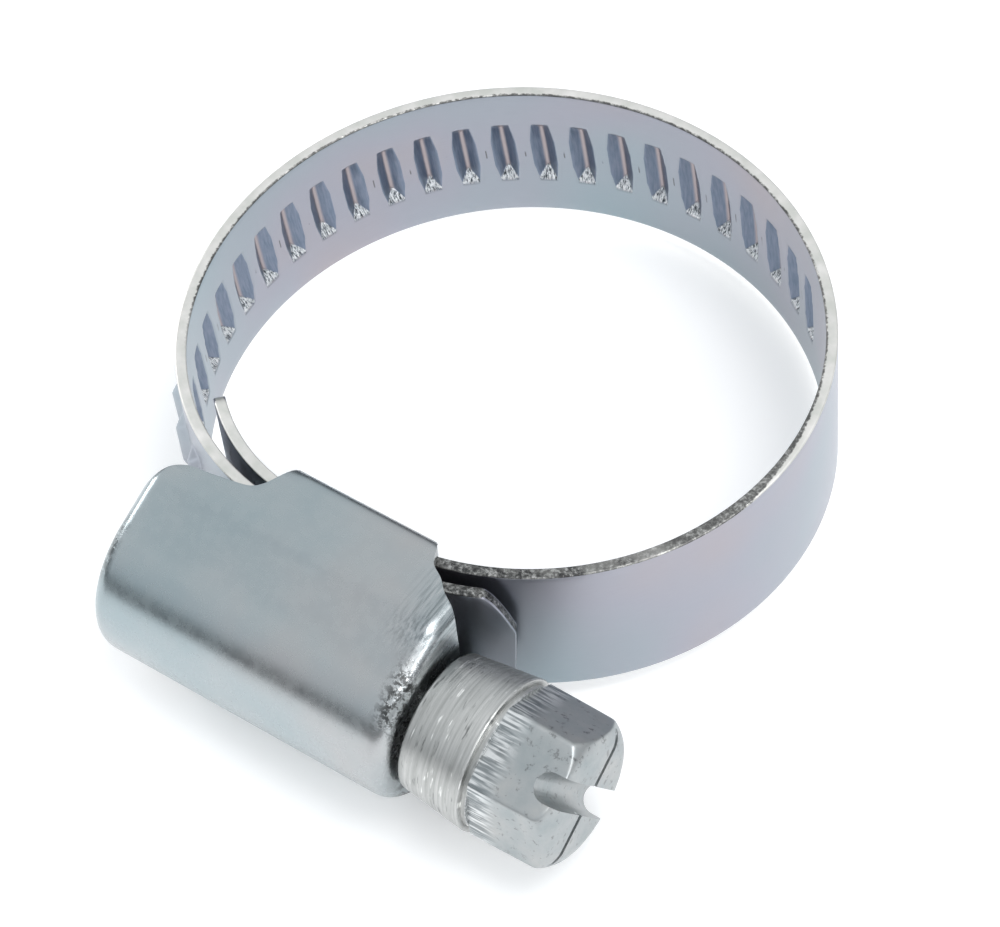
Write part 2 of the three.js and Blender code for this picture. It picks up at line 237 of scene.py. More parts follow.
def advance(x, y, heading, length, curve):
    turned = heading + length * curve
    if curve == 0:
        return x + length * np.cos(turned), y + length * np.sin(turned), turned
    return (
        x + (np.sin(turned) - np.sin(heading)) / curve,
        y - (np.cos(turned) - np.cos(heading)) / curve,
        turned,
    )


def band_at(stations):
    """Places and headings of the band's middle at distances along it."""
    stations = np.asarray(stations, float)
    x = -TONGUE_FLAT - TONGUE_RADIUS * math.sin(TONGUE_ANGLE)
    y = -FIXED_SEAT + TONGUE_RADIUS * (1 - math.cos(TONGUE_ANGLE))
    heading = -TONGUE_ANGLE
    out = np.zeros(stations.shape + (3,))
    start = 0.0
    for number, (length, curve) in enumerate(RUNS):
        here = stations >= start if number else np.ones(stations.shape, bool)
        px, py, ph = advance(x, y, heading, stations - start, curve)
        out[here] = np.stack([px, py, ph + 0 * px], axis=-1)[here]
        x, y, heading = advance(x, y, heading, length, curve)
        start += length
    return out


def station_of(count):
    return sum(length for length, _ in RUNS[:count])


EXIT_STATION = station_of(2) + EXIT_LENGTH
SEAT_STATION = station_of(6) - SEAT_TEETH * PITCH
FIRST_TOOTH = SEAT_STATION - LOOP_TEETH * PITCH
TAIL_END = station_of(7)
TAIL_TEETH_END = SEAT_STATION + (SEAT_TEETH + TAIL_TEETH) * PITCH
SMOOTH_LENGTH = (FIRST_TOOTH - EXIT_STATION) / SMOOTH_LINKS


# ---------------------------------------------------------------------------
# Camera, floor and light
# ---------------------------------------------------------------------------

def look(obj, place, target, roll=0.0):
    forward = (Vector(target) - Vector(place)).normalized()
    right = forward.cross(Vector((0, 0, 1))).normalized()
    up = right.cross(forward)
    turned_up = up * math.cos(roll) + right * math.sin(roll)
    turned_right = forward.cross(turned_up)
    rotation = Matrix((turned_right, turned_up, -forward)).transposed()
    obj.matrix_world = Matrix.Translation(Vector(place)) @ rotation.to_4x4()


def make_camera():
    data = bpy.data.cameras.new("camera")
    camera = bpy.data.objects.new("camera", data)
    bpy.context.scene.collection.objects.link(camera)
    data.sensor_width = 36.0
    data.lens = 133.87
    data.clip_start = 0.01
    place = Vector((72.12, -87.56, 147.05)) * MM
    target = Vector((2.11, -4.00, 0.0)) * MM
    look(camera, place, target, roll=math.radians(6.84))
    bpy.context.scene.camera = camera
    bpy.context.scene.view_settings.view_transform = "Standard"


def area_light(name, place, target, size, power):
    data = bpy.data.lights.new(name, "AREA")
    data.shape = "RECTANGLE"
    data.size = size
    data.size_y = size
    data.energy = power
    light = bpy.data.objects.new(name, data)
    bpy.context.scene.collection.objects.link(light)
    look(light, place, target)


def make_floor(material):
    """A pale floor under the lowest wall of the clamp."""
    half = 0.6
    level = cad_box[0][2] / MM - 0.02
    points = [(-half / MM, -half / MM, level), (half / MM, -half / MM, level),
              (half / MM, half / MM, level), (-half / MM, half / MM, level)]
    floor = mesh_object("floor", points, [(0, 1, 2, 3)], smooth=False)
    floor.data.materials.append(material)


def make_light():
    """A light tent: a bright roof and table, with a dim belt low round the horizon."""
    world = bpy.data.worlds.new("studio")
    bpy.context.scene.world = world
    world.use_nodes = True
    tree = world.node_tree
    texture = tree.nodes.new("ShaderNodeTexCoord")
    split = tree.nodes.new("ShaderNodeSeparateXYZ")
    ramp = tree.nodes.new("ShaderNodeValToRGB")
    tree.links.new(texture.outputs["Generated"], split.inputs["Vector"])
    tree.links.new(split.outputs["Z"], ramp.inputs["Fac"])
    tree.links.new(ramp.outputs["Color"], tree.nodes["Background"].inputs["Color"])
    stops = [
        (0.00, (0.20, 0.21, 0.22)), (0.12, (0.16, 0.17, 0.18)), (0.22, (0.45, 0.48, 0.50)),
        (0.36, (0.80, 0.84, 0.88)), (0.80, (0.95, 0.98, 1.00)), (1.00, (0.70, 0.74, 0.78)),
    ]
    while len(ramp.color_ramp.elements) < len(stops):
        ramp.color_ramp.elements.new(0.5)
    for element, (position, colour) in zip(ramp.color_ramp.elements, stops):
        element.position = position
        element.color = (*colour, 1)
    tree.nodes["Background"].inputs["Strength"].default_value = 1.0
    centre = (0, 0, 0)
    area_light("key", (0.16, 0.02, 0.45), centre, 0.24, 0.85)
    area_light("fill", (0.36, -0.15, 0.25), centre, 0.16, 0.45)
    area_light("side", (-0.42, 0.02, 0.15), centre, 0.12, 0.45)


# ---------------------------------------------------------------------------
# Materials
# ---------------------------------------------------------------------------

class Nodes:
    """Short calls for building a node tree."""

    def __init__(self, name):
        self.material = bpy.data.materials.new(name)
        self.material.use_nodes = True
        self.tree = self.material.node_tree
        self.shader = self.tree.nodes["Principled BSDF"]

    def add(self, kind, **settings):
        node = self.tree.nodes.new(kind)
        for key, value in settings.items():
            setattr(node, key, value)
        return node

    def link(self, source, target):
        self.tree.links.new(source, target)

    def coordinates(self, kind="Object", scale=(1, 1, 1), rotation=(0, 0, 0)):
        texture = self.add("ShaderNodeTexCoord")
        mapping = self.add("ShaderNodeMapping")
        mapping.inputs["Scale"].default_value = scale
        mapping.inputs["Rotation"].default_value = rotation
        self.link(texture.outputs[kind], mapping.inputs["Vector"])
        return mapping.outputs["Vector"]

    def noise(self, vector, scale, detail, roughness):
        node = self.add("ShaderNodeTexNoise")
        node.inputs["Scale"].default_value = scale
        node.inputs["Detail"].default_value = detail
        node.inputs["Roughness"].default_value = roughness
        self.link(vector, node.inputs["Vector"])
        return node.outputs["Fac"]

    def ramp(self, value, stops):
        node = self.add("ShaderNodeValToRGB")
        elements = node.color_ramp.elements
        while len(elements) < len(stops):
            elements.new(0.5)
        for element, (position, colour) in zip(elements, stops):
            element.position = position
            element.color = (*colour, 1)
        self.link(value, node.inputs["Fac"])
        return node.outputs["Color"]

    def map_range(self, value, low, high, to_low, to_high):
        node = self.add("ShaderNodeMapRange")
        for key, number in (("From Min", low), ("From Max", high), ("To Min", to_low), ("To Max", to_high)):
            node.inputs[key].default_value = number
        self.link(value, node.inputs["Value"])
        return node.outputs["Result"]

    def span(self, value, low, high, to_low=0.0, to_high=1.0):
        """A map range whose input limits are in millimetres."""
        return self.map_range(value, low * MM, high * MM, to_low, to_high)

    def step(self, value, edge, over=True):
        """One past an edge and nothing before it, or the other way round."""
        return self.maths("GREATER_THAN" if over else "LESS_THAN", value, float(edge))

    def maths(self, operation, first, second=None):
        node = self.add("ShaderNodeMath", operation=operation)
        for socket, value in zip(node.inputs, (first, second)):
            if value is None:
                continue
            if isinstance(value, (int, float)):
                socket.default_value = value
            else:
                self.link(value, socket)
        return node.outputs["Value"]

    def mix(self, factor, first, second):
        node = self.add("ShaderNodeMix", data_type="RGBA")
        for socket, value in ((node.inputs[0], factor), (node.inputs[6], first), (node.inputs[7], second)):
            if isinstance(value, (int, float)):
                socket.default_value = value
            elif isinstance(value, tuple):
                socket.default_value = (*value, 1)
            else:
                self.link(value, socket)
        return node.outputs[2]

    def bump(self, height, distance, strength=1.0, normal=None):
        node = self.add("ShaderNodeBump")
        node.inputs["Distance"].default_value = distance
        node.inputs["Strength"].default_value = strength
        self.link(height, node.inputs["Height"])
        if normal is not None:
            self.link(normal, node.inputs["Normal"])
        return node.outputs["Normal"]

    def set(self, socket, value):
        if isinstance(value, (int, float)):
            self.shader.inputs[socket].default_value = value
        elif isinstance(value, tuple):
            self.shader.inputs[socket].default_value = (*value, 1)
        else:
            self.link(value, self.shader.inputs[socket])


def floor_material():
    """Pale and faintly self-lit near the clamp, and grey far off, where only the metal reflects it."""
    nodes = Nodes("floor")
    distance = nodes.add("ShaderNodeVectorMath", operation="LENGTH")
    nodes.link(nodes.coordinates("Object"), distance.inputs[0])
    away = nodes.map_range(distance.outputs["Value"], 0.11, 0.26, 0.0, 1.0)
    nodes.set("Base Color", nodes.mix(away, (0.90, 0.90, 0.90), (0.30, 0.30, 0.30)))
    nodes.set("Roughness", 0.7)
    nodes.set("Specular IOR Level", 0.1)
    nodes.set("Emission Color", nodes.mix(away, (1.0, 1.0, 1.0), (0.0, 0.0, 0.0)))
    nodes.set("Emission Strength", 0.22)
    return nodes.material


def zinc_band_material():
    """Bright zinc on rolled strip: blue-grey with faint pink and straw, with painted shade, painted sheen
    and painted glints in the pressed teeth.
    """
    nodes = Nodes("zinc_band")
    place = nodes.coordinates("Object")
    cloud = nodes.noise(place, 75, 2, 0.5)
    colour = nodes.ramp(cloud, [
        (0.32, (0.300, 0.372, 0.410)),
        (0.46, (0.328, 0.368, 0.410)),
        (0.58, (0.352, 0.356, 0.408)),
        (0.72, (0.385, 0.350, 0.378)),
    ])
    strip = nodes.coordinates("UV", scale=(0.10, 5.0, 1))
    rolled = nodes.noise(strip, 8.0, 5, 0.65)
    colour = nodes.mix(nodes.map_range(rolled, 0.3, 0.7, 0.0, 0.18), colour, (0.50, 0.52, 0.55))

    # Where on the strip: the share of a pitch from a tooth's middle, and the height
    split = nodes.add("ShaderNodeSeparateXYZ")
    nodes.link(nodes.coordinates("UV"), split.inputs["Vector"])
    teeth = nodes.maths("DIVIDE", nodes.maths("SUBTRACT", split.outputs["X"], FIRST_TOOTH), PITCH)
    share = nodes.maths("SUBTRACT", nodes.maths("FRACT", teeth), 0.5)
    off = nodes.maths("ABSOLUTE", share)
    threaded = nodes.maths("MULTIPLY", nodes.step(teeth, 0.0), nodes.step(teeth, LOOP_TEETH, over=False))
    inner = nodes.step(split.outputs["Y"], INNER_SIDE / 2)
    inner = nodes.maths("MULTIPLY", inner, threaded)
    height = nodes.maths("SUBTRACT", split.outputs["Y"], INNER_SIDE)
    up = nodes.maths("ABSOLUTE", height)
    half = nodes.map_range(up, 0.9, TOOTH_LENGTH / 2, 0.31, 0.21)
    in_length = nodes.map_range(up, TOOTH_LENGTH / 2 - 0.12, TOOTH_LENGTH / 2, 1.0, 0.0)
    pocket = nodes.maths("MULTIPLY", nodes.maths("LESS_THAN", off, half), in_length)
    pocket = nodes.maths("MULTIPLY", pocket, inner)

    # The pocket's slopes are painted dark blue as painted shade, with a pink line of painted sheen along
    # its bottom and a painted white glint over a rough speckle at its lower end.
    brushed = nodes.noise(nodes.coordinates("UV", scale=(6, 0.5, 1)), 2.0, 3, 0.6)
    pocket_shade_and_sheen = nodes.ramp(brushed, [(0.3, (0.150, 0.195, 0.260)), (0.7, (0.240, 0.270, 0.345))])
    # The pink line along the pocket's bottom is painted sheen on the crease.
    line = nodes.map_range(off, 0.030, 0.085, 1.0, 0.0)
    pocket_shade_and_sheen = nodes.mix(line, pocket_shade_and_sheen, (0.400, 0.345, 0.350))
    torn_and_painted_light = nodes.noise(nodes.coordinates("UV", scale=(3, 1, 1)), 3.6, 3, 0.75)
    # Near-white stops: a painted glint at the pocket's lower end, broken by a dark speckle.
    torn_glint_colour = nodes.ramp(torn_and_painted_light, [
        (0.40, (0.08, 0.09, 0.10)), (0.46, (0.40, 0.43, 0.46)), (0.53, (0.95, 0.96, 0.97)),
    ])
    depth = nodes.maths("ADD", height, nodes.maths("MULTIPLY", off, 2.4))
    lower = nodes.maths("MULTIPLY", nodes.map_range(depth, -1.50, -1.35, 1.0, 0.0), pocket)
    colour = nodes.mix(pocket, colour, pocket_shade_and_sheen)
    colour = nodes.mix(lower, colour, torn_glint_colour)

    # Small dark nicks between the pockets
    nick = nodes.maths("MULTIPLY", nodes.map_range(share, 0.455, 0.475, 0.0, 1.0), inner)
    nick = nodes.maths("MULTIPLY", nick, nodes.map_range(up, 0.25, 0.35, 1.0, 0.0))
    chance = nodes.noise(nodes.coordinates("UV", scale=(1, 1, 1)), 0.35, 2, 0.7)
    nick = nodes.maths("MULTIPLY", nick, nodes.map_range(chance, 0.46, 0.52, 0.0, 0.8))
    colour = nodes.mix(nick, colour, (0.12, 0.12, 0.12))
    mottle = nodes.noise(place, 1300, 3, 0.6)
    nodes.set("Base Color", colour)
    nodes.set("Metallic", 1.0)
    nodes.set("Roughness", nodes.map_range(rolled, 0.25, 0.75, 0.28, 0.38))
    torn_normal = nodes.bump(nodes.maths("MULTIPLY", torn_and_painted_light, lower), 0.00012, 1.0)
    nodes.set("Normal", nodes.bump(mottle, 0.000008, 0.4, nodes.bump(rolled, 0.000010, 0.35, torn_normal)))
    return nodes.material


def cut_edge_material():
    """The sheared edge of the strip: smooth and pale where it was cut, with painted shade over a dark
    speckle at the front right, and a rough dark line along the inner corner elsewhere.
    """
    nodes = Nodes("cut_edge")
    place = nodes.coordinates("Object")
    grain = nodes.noise(place, 900, 4, 0.6)
    speck = nodes.noise(place, 4600, 3, 0.7)
    pale = nodes.ramp(grain, [
        (0.35, (0.640, 0.640, 0.600)), (0.55, (0.720, 0.705, 0.675)), (0.70, (0.780, 0.760, 0.735)),
    ])
    # A dark speckle: painted shade on the rim's front right, and the rough line along its inner corner.
    torn_and_painted_light = nodes.ramp(speck, [
        (0.42, (0.050, 0.050, 0.050)), (0.54, (0.160, 0.160, 0.155)), (0.66, (0.400, 0.400, 0.390)),
    ])
    split = nodes.add("ShaderNodeSeparateXYZ")
    nodes.link(place, split.inputs["Vector"])
    across = split.outputs["X"]
    back = split.outputs["Y"]
    radius = nodes.maths("SQRT", nodes.maths("ADD", nodes.maths("MULTIPLY", across, across),
                                             nodes.maths("MULTIPLY", back, back)))
    ragged = nodes.maths("ADD", radius, nodes.map_range(speck, 0.3, 0.7, -0.05 * MM, 0.05 * MM))

    # The front right of the rim is painted dark as shade over most of its width, and the rest has a rough
    # dark line only at its inner corner.
    front = nodes.maths("SUBTRACT", nodes.maths("MULTIPLY", across, 0.55), back)
    uneven = nodes.map_range(grain, 0.3, 0.7, -1.0 * MM, 1.0 * MM)
    front = nodes.span(nodes.maths("ADD", front, uneven), 12.0, 16.0)
    right = nodes.span(across, 2.5, 4.0)
    # Painted shade over the front right of the rim.
    front_shade = nodes.maths("MULTIPLY", nodes.maths("MULTIPLY", front, right),
                       nodes.span(ragged, LOOP_RADIUS + 0.10, LOOP_RADIUS + 0.18, 1.0, 0.0))
    inner_corner = nodes.span(ragged, LOOP_RADIUS - 0.24, LOOP_RADIUS - 0.18, 1.0, 0.0)
    thin = nodes.maths("MULTIPLY", inner_corner, nodes.span(back, -9.0, -6.0, 0.0, 0.9))
    fracture_and_shade = nodes.maths("MAXIMUM", front_shade, thin)
    nodes.set("Base Color", nodes.mix(fracture_and_shade, pale, torn_and_painted_light))
    nodes.set("Metallic", 0.9)
    nodes.set("Roughness", nodes.map_range(grain, 0.3, 0.7, 0.34, 0.5))
    nodes.set("Normal", nodes.bump(speck, 0.00003, 0.35))
    return nodes.material


def zinc_housing_material():
    """Bright zinc on pressed sheet: satin blue-grey, brushed by handling near its mouth."""
    nodes = Nodes("zinc_housing")
    place = nodes.coordinates("Object")
    cloud = nodes.noise(place, 110, 3, 0.5)
    colour = nodes.ramp(cloud, [
        (0.34, (0.345, 0.405, 0.425)),
        (0.48, (0.385, 0.425, 0.440)),
        (0.60, (0.420, 0.430, 0.435)),
        (0.72, (0.425, 0.415, 0.420)),
    ])
    peel = nodes.noise(place, 1500, 4, 0.6)
    colour = nodes.mix(nodes.map_range(peel, 0.35, 0.65, 0.0, 0.10), colour, (0.52, 0.54, 0.55))
    split = nodes.add("ShaderNodeSeparateXYZ")
    nodes.link(place, split.inputs["Vector"])

    # Scratches across the corner of the wall beside the mouth
    lengthwise = nodes.coordinates("Object", scale=(1, 0.07, 1), rotation=(0, 0, math.radians(-8)))
    scratch = nodes.noise(lengthwise, 7000, 3, 0.6)
    mouth = nodes.span(split.outputs["X"], 5.0, 6.8)
    mouth = nodes.maths("MULTIPLY", mouth, nodes.span(split.outputs["Y"], -18.5, -17.2))
    mouth = nodes.maths("MULTIPLY", mouth, nodes.map_range(cloud, 0.40, 0.52, 0.4, 1.0))
    scratched = nodes.ramp(scratch, [
        (0.38, (0.170, 0.200, 0.210)), (0.50, (0.345, 0.385, 0.400)), (0.64, (0.480, 0.500, 0.510)),
    ])
    colour = nodes.mix(nodes.maths("MULTIPLY", mouth, 0.75), colour, scratched)

    # Dark patches of painted shade on the drawn-in ends of the barrel, on its side away from the loop,
    # broken up by a pebble noise that also gives them a pebbled bump
    pebble = nodes.noise(place, 2300, 4, 0.75)
    low = nodes.maths("MULTIPLY", nodes.span(split.outputs["Y"], -19.0, -17.9, 1.0, 0.0),
                      nodes.span(split.outputs["Y"], -21.4, -20.6))
    drawn = nodes.span(split.outputs["X"], 6.6, 7.3)
    left_end = nodes.span(split.outputs["X"], -9.0, -8.5, 0.6, 0.0)
    drawn = nodes.maths("MAXIMUM", drawn, left_end)
    drawn = nodes.maths("MULTIPLY", drawn, nodes.map_range(pebble, 0.44, 0.54, 1.0, 0.0))
    drawn = nodes.maths("MULTIPLY", drawn, nodes.map_range(low, 0.0, 1.0, 0.04, 0.95))
    # Painted shade: near black on those curls.
    colour = nodes.mix(drawn, colour, (0.060, 0.062, 0.062))
    nodes.set("Base Color", colour)
    nodes.set("Metallic", 1.0)
    nodes.set("Roughness", nodes.map_range(peel, 0.3, 0.7, 0.22, 0.31))
    pebbled = nodes.bump(nodes.maths("MULTIPLY", pebble, drawn), 0.00006, 0.6)
    rubbed = nodes.bump(nodes.maths("MULTIPLY", scratch, mouth), 0.000018, 0.5, pebbled)
    nodes.set("Normal", nodes.bump(peel, 0.000010, 0.45, rubbed))
    return nodes.material


def turned_screw_material():
    """Turned and cold-formed steel, thinly plated: matt pale grey with ring marks round the collar."""
    nodes = Nodes("turned_screw")
    place = nodes.coordinates("Object")
    split = nodes.add("ShaderNodeSeparateXYZ")
    nodes.link(place, split.inputs["Vector"])
    head = nodes.span(split.outputs["X"], HEX_X - 0.1, HEX_X + 0.05)

    # Fine rings, with a few broken bright and dark streaks round the collar that are painted highlights and
    # painted shade
    rings = nodes.noise(nodes.coordinates("Object", scale=(1, 0.04, 0.04)), 6500, 4, 0.7)
    reflection_streak = nodes.noise(nodes.coordinates("Object", scale=(1, 0.14, 0.14)), 4200, 3, 0.6)
    turned = nodes.ramp(rings, [
        (0.34, (0.390, 0.395, 0.385)), (0.50, (0.480, 0.485, 0.475)), (0.66, (0.560, 0.560, 0.550)),
    ])
    turned = nodes.mix(nodes.map_range(reflection_streak, 0.30, 0.38, 0.75, 0.0), turned, (0.110, 0.115, 0.115))
    turned = nodes.mix(nodes.map_range(reflection_streak, 0.64, 0.70, 0.0, 0.9), turned, (0.900, 0.900, 0.880))

    # The formed head: cloudy, with small pits, and drawn strokes beside the collar
    formed = nodes.ramp(nodes.noise(place, 420, 5, 0.6), [
        (0.32, (0.330, 0.365, 0.375)), (0.52, (0.400, 0.420, 0.425)), (0.72, (0.480, 0.480, 0.470)),
    ])
    pits = nodes.noise(place, 2600, 4, 0.65)
    formed = nodes.mix(nodes.map_range(pits, 0.34, 0.42, 0.6, 0.0), formed, (0.140, 0.140, 0.140))
    strokes = nodes.noise(nodes.coordinates("Object", scale=(0.10, 1, 1)), 6400, 2, 0.5)
    beside = nodes.span(split.outputs["X"], HEX_X + 0.7, HEX_X + 1.5, 1.0, 0.0)
    stroke = nodes.ramp(strokes, [
        (0.40, (0.150, 0.170, 0.180)), (0.50, (0.420, 0.440, 0.450)), (0.58, (0.880, 0.890, 0.890)),
    ])
    formed = nodes.mix(nodes.maths("MULTIPLY", beside, 0.6), formed, stroke)
    nodes.set("Base Color", nodes.mix(head, turned, formed))
    nodes.set("Metallic", 1.0)
    nodes.set("Roughness", nodes.map_range(pits, 0.3, 0.7, 0.34, 0.46))
    worked = nodes.mix(beside, pits, strokes)
    nodes.set("Normal", nodes.bump(nodes.mix(head, rings, worked), 0.00002, 0.6))
    return nodes.material


# ---------------------------------------------------------------------------
# Band
# ---------------------------------------------------------------------------

def slant_at(stations):
    share = (stations - FIRST_TOOTH + SMOOTH_LENGTH) / SMOOTH_LENGTH
    return TOOTH_SLANT * np.clip(share, 0, 1)


def soft_least(first, second, soft):
    return 0.5 * (first + second - np.sqrt((first - second) ** 2 + soft**2))


def tooth_rise(stations, heights):
    """How far the embossed thread lifts the band, at a grid of stations and heights."""
    number = np.floor((stations - FIRST_TOOTH) / PITCH)
    along = stations - FIRST_TOOTH - (number + 0.5) * PITCH
    up = np.abs(heights)
    waist = CREST_LENGTH / 2 * 0.5
    narrowing = np.clip((up - waist) / (TOOTH_LENGTH / 2 - waist), 0, 1)
    half = TOOTH_BASE / 2 + (TOOTH_END - TOOTH_BASE) / 2 * narrowing
    sides = 1 - np.abs(along) / half
    ends = (TOOTH_LENGTH / 2 - up) / (0.5 * (TOOTH_LENGTH - CREST_LENGTH))
    shape = soft_least(soft_least(sides * 1.08, ends, 0.10), 0.98, 0.10)
    inside = (stations > FIRST_TOOTH) & (stations < TAIL_TEETH_END)
    return np.where(inside, TOOTH_HEIGHT * np.clip(shape + 0.02, 0, 1), 0)


def half_width_at(stations):
    """Half the band's width: round corners on the tongue, and a tapered tip on the tail."""
    half = np.full(stations.shape, BAND_WIDTH / 2)
    near = np.clip(TONGUE_CORNER - stations, 0, TONGUE_CORNER)
    half -= TONGUE_CORNER - np.sqrt(TONGUE_CORNER**2 - near**2)
    share = np.clip((stations - (TAIL_END - TAIL_TIP)) / TAIL_TIP, 0, 1)
    tip = TAIL_TIP_WIDTH / 2
    half -= (BAND_WIDTH / 2 - tip) * share**1.6
    return half


def band_stations(piece_ends):
    """Stations along the whole band, close together at the teeth and the tips."""
    marks = [0.0]
    spans = [
        (0.3, 0.05), (1.2, 0.12), (FIRST_TOOTH - 0.2, 0.45),
        (TAIL_TEETH_END, PITCH / 20), (TAIL_END - TAIL_TIP, 0.2), (TAIL_END, 0.07),
    ]
    for end, step in spans:
        count = max(1, round((end - marks[-1]) / step))
        marks.extend(np.linspace(marks[-1], end, count + 1)[1:])
    return np.unique(np.round(np.concatenate([marks, piece_ends]), 6))


def band_grid(stations):
    """Outer and inner surfaces of the band: arrays of (column, row, xyz)."""
    fine = np.arange(-2.5, 2.5001, 0.1)
    margin = np.linspace(2.5, BAND_WIDTH / 2 - EDGE_ROUND, 6)[1:]
    turn = np.radians([22.5, 45, 67.5, 90])
    corner = BAND_WIDTH / 2 - EDGE_ROUND + EDGE_ROUND * np.sin(turn)
    side = np.concatenate([margin, corner])
    heights = np.concatenate([-side[::-1], fine, side])
    beyond = np.clip(np.abs(heights) - (BAND_WIDTH / 2 - EDGE_ROUND), 0, EDGE_ROUND)
    depth = BAND_THICKNESS / 2 - EDGE_ROUND + np.sqrt(np.maximum(EDGE_ROUND**2 - beyond**2, 0))
    scale = half_width_at(stations)[:, None] / (BAND_WIDTH / 2)
    z = heights[None, :] * scale
    station = stations[:, None] + slant_at(stations)[:, None] * z
    place = band_at(station)
    outward = np.stack([np.sin(place[..., 2]), -np.cos(place[..., 2])], axis=-1)
    lift = tooth_rise(stations[:, None] + 0 * z, z)
    surfaces = []
    for side_sign in (1, -1):
        offset = lift + side_sign * depth[None, :]
        xy = place[..., :2] + outward * offset[..., None]
        surfaces.append(np.concatenate([xy, z[..., None]], axis=-1))
    return surfaces[0], surfaces[1], heights


def strip_mesh(name, outer, inner, stations, heights):
    """A closed strip between two surfaces. Its rim faces carry the second material."""
    columns, rows = outer.shape[:2]
    count = columns * rows
    points = np.concatenate([outer.reshape(-1, 3), inner.reshape(-1, 3)])
    faces = grid_faces(columns, rows)
    faces += [face[::-1] for face in grid_faces(columns, rows, first=count)]
    long_faces = len(faces)
    for i in range(columns - 1):
        low, low_next = i * rows, (i + 1) * rows
        faces.append((low + count, low_next + count, low_next, low))
        high, high_next = low + rows - 1, low_next + rows - 1
        faces.append((high, high_next, high_next + count, high + count))
    last = (columns - 1) * rows
    for j in range(rows - 1):
        faces.append((j + count, j, j + 1, j + 1 + count))
        faces.append((last + j, last + j + count, last + j + 1 + count, last + j + 1))
    piece = mesh_object(name, points, faces)
    u = np.repeat(stations, rows)
    v = np.tile(heights, columns)
    add_uv(piece, np.concatenate([u, u]), np.concatenate([v, v + INNER_SIDE]))
    materials = np.zeros(len(faces), int)
    materials[long_faces:] = 1
    centre_height = np.abs(np.array([np.mean(points[list(face), 2]) for face in faces]))
    materials[(centre_height > BAND_WIDTH / 2 - EDGE_ROUND * 0.75)] = 1
    piece.data.polygons.foreach_set("material_index", materials)
    return piece


def link_chain():
    """(body, first station, last station) of each length of the band, from the fixed end."""
    chain = [("root", 0.0, EXIT_STATION)]
    for i in range(SMOOTH_LINKS):
        start = EXIT_STATION + i * SMOOTH_LENGTH
        chain.append((f"smooth_{i + 1}", start, start + SMOOTH_LENGTH))
    long_length = LONG_LINK_TEETH * PITCH
    for i in range((LOOP_TEETH - ENTRY_LINKS * ENTRY_LINK_TEETH) // LONG_LINK_TEETH):
        start = FIRST_TOOTH + i * long_length
        chain.append((f"threaded_{i + 1}", start, start + long_length))
    entry_length = ENTRY_LINK_TEETH * PITCH
    for i in range(ENTRY_LINKS):
        start = SEAT_STATION - (ENTRY_LINKS - i) * entry_length
        chain.append((f"entry_{i + 1}", start, start + entry_length))
    seat_end = SEAT_STATION + SEAT_TEETH * PITCH
    chain.append(("under_worm", SEAT_STATION, seat_end))
    chain.append(("tail", seat_end, TAIL_END))
    return chain


def make_band(materials):
    """The band in pieces: each runs from the middle of one length to the middle of the next."""
    chain = link_chain()
    middles = [(start + end) / 2 for _, start, end in chain]
    ends = [0.0] + middles[1:-1] + [TAIL_END]
    stations = band_stations(np.array(ends))
    outer, inner, heights = band_grid(stations)
    whole = strip_mesh("whole", outer, inner, stations, heights)
    normals = np.array([v.normal for v in whole.data.vertices]).reshape(2, len(stations), len(heights), 3)
    bpy.data.objects.remove(whole)
    for number in range(len(chain) - 1):
        body, _, hinge = chain[number]
        next_body = chain[number + 1][0]
        first = int(np.searchsorted(stations, ends[number] - 1e-4))
        last = int(np.searchsorted(stations, ends[number + 1] - 1e-4))
        cut = slice(first, last + 1)
        name = "band_" + (body if number else "fixed_end") + "_strip"
        piece = strip_mesh(name, outer[cut], inner[cut], stations[cut], heights)
        piece.data.normals_split_custom_set_from_vertices(normals[:, cut].reshape(-1, 3).tolist())
        for material in materials:
            piece.data.materials.append(material)
        reach = min(middles[number + 1] - hinge, 3.5)
        back = min(hinge - middles[number], 3.5)
        near, far = band_at(np.array([hinge - back, hinge + reach]))
        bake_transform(piece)
        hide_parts("band_" + (body if number else "fixed_end"))
        if next_body == "tail":
            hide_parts("band_tail")


# ---------------------------------------------------------------------------
# Housing
# ---------------------------------------------------------------------------

